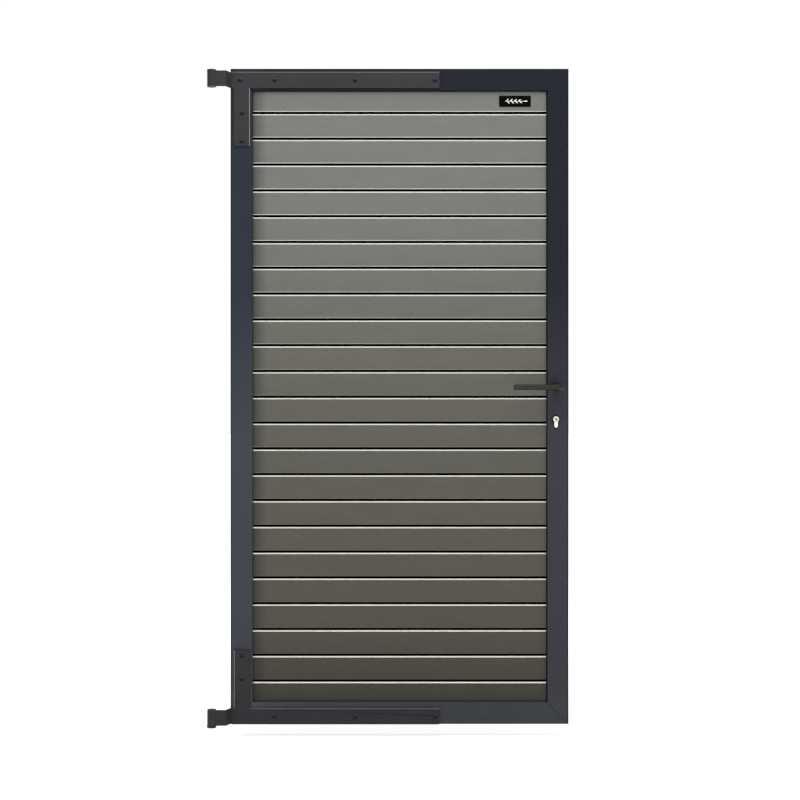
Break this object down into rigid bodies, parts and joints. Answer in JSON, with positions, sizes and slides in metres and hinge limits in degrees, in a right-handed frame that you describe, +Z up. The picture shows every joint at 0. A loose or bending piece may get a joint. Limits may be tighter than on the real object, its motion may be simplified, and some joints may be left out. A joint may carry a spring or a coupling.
{
  "type": "garden gate",
  "caption": "Slatted metal-framed garden gate leaf on cranked strap hinges with post pintles, lever handles and a cylinder lock.",
  "frame": {"origin": "on the lower pintle's stud axis, where the stud leaves the front face of the hinge post", "axes": "+X from the hinges to the lock edge, +Y from the front of the gate to its back, +Z up"},
  "size_m": [1.0457, 0.1552, 1.906],
  "materials": {
    "frame_coat": "satin",
    "slat": "satin",
    "black_coat": "satin",
    "zinc": "satin",
    "steel": "satin",
    "spring_steel": "satin",
    "nickel": "satin",
    "nylon": "matte",
    "badge_plate": "satin"
  },
  "bodies": {
    "post_fittings": {"lower_pintle": "black_coat", "upper_pintle": "black_coat", "pintle_washers": "nylon"},
    "leaf": {"hinge_stile": "frame_coat", "lock_stile": "frame_coat", "top_rail": "frame_coat", "bottom_rail": "frame_coat", "corner_cleats": "zinc", "slat_01": "slat", "slat_02": "slat", "slat_03": "slat", "slat_04": "slat", "slat_05": "slat", "slat_06": "slat", "slat_07": "slat", "slat_08": "slat", "slat_09": "slat", "slat_10": "slat", "slat_11": "slat", "slat_12": "slat", "slat_13": "slat", "slat_14": "slat", "slat_15": "slat", "slat_16": "slat", "slat_17": "slat", "slat_18": "slat", "slat_19": "slat", "slat_20": "slat", "slat_21": "slat", "slat_22": "slat", "slat_23": "slat", "slat_24": "slat", "upper_hinge": "black_coat", "lower_hinge": "black_coat", "upper_hinge_bolts": "black_coat", "lower_hinge_bolts": "black_coat", "hinge_nuts": "zinc", "lock_case": "zinc", "lock_cover": "zinc", "faceplate": "steel", "faceplate_screws": "steel", "latch_spring": "spring_steel", "follower_spring": "spring_steel", "lever_bushes": "nylon", "cylinder_body": "nickel", "driver_pins": "steel", "pin_springs": "spring_steel", "cylinder_screw": "steel", "badge": "badge_plate"},
    "lever_set": {"front_lever": "black_coat", "rear_lever": "black_coat", "lever_spindle": "steel", "follower": "steel", "lever_grub_screws": "steel"},
    "latch": {"latch_bolt": "steel"},
    "key_barrel": {"front_plug": "nickel", "rear_plug": "nickel", "cam": "steel", "key_pins": "nickel"},
    "lock_bolt": {"dead_bolt": "steel"}
  },
  "joints": [
    {"name": "gate_swing", "type": "hinge", "parent": "post_fittings", "child": "leaf", "pos_m": [0, -0.024, 0], "axis": [0, 0, -1], "range_deg": [0, 170]},
    {"name": "lever_turn", "type": "hinge", "parent": "leaf", "child": "lever_set", "pos_m": [0.995, 0.017, 0.9515], "axis": [0, -1, 0], "range_deg": [0, 40], "stiffness_Nm_per_rad": 1.2, "springref_deg": -34.38},
    {"name": "latch_slide", "type": "slide", "parent": "leaf", "child": "latch", "axis": [-1, 0, 0], "range_m": [0, 0.01], "deforming": ["latch_spring"]},
    {"name": "key_turn", "type": "hinge", "parent": "leaf", "child": "key_barrel", "pos_m": [0.995, 0.017, 0.8595], "axis": [0, 1, 0], "range_deg": [0, 360]},
    {"name": "dead_bolt_slide", "type": "slide", "parent": "leaf", "child": "lock_bolt", "axis": [1, 0, 0], "range_m": [0, 0.02]}
  ],
  "couplings": [
    {"joint": "latch_slide", "follows": "lever_turn", "m_per_rad": 0.014323},
    {"joint": "key_turn", "follows": "dead_bolt_slide", "rad_per_m": 314.15}
  ]
}
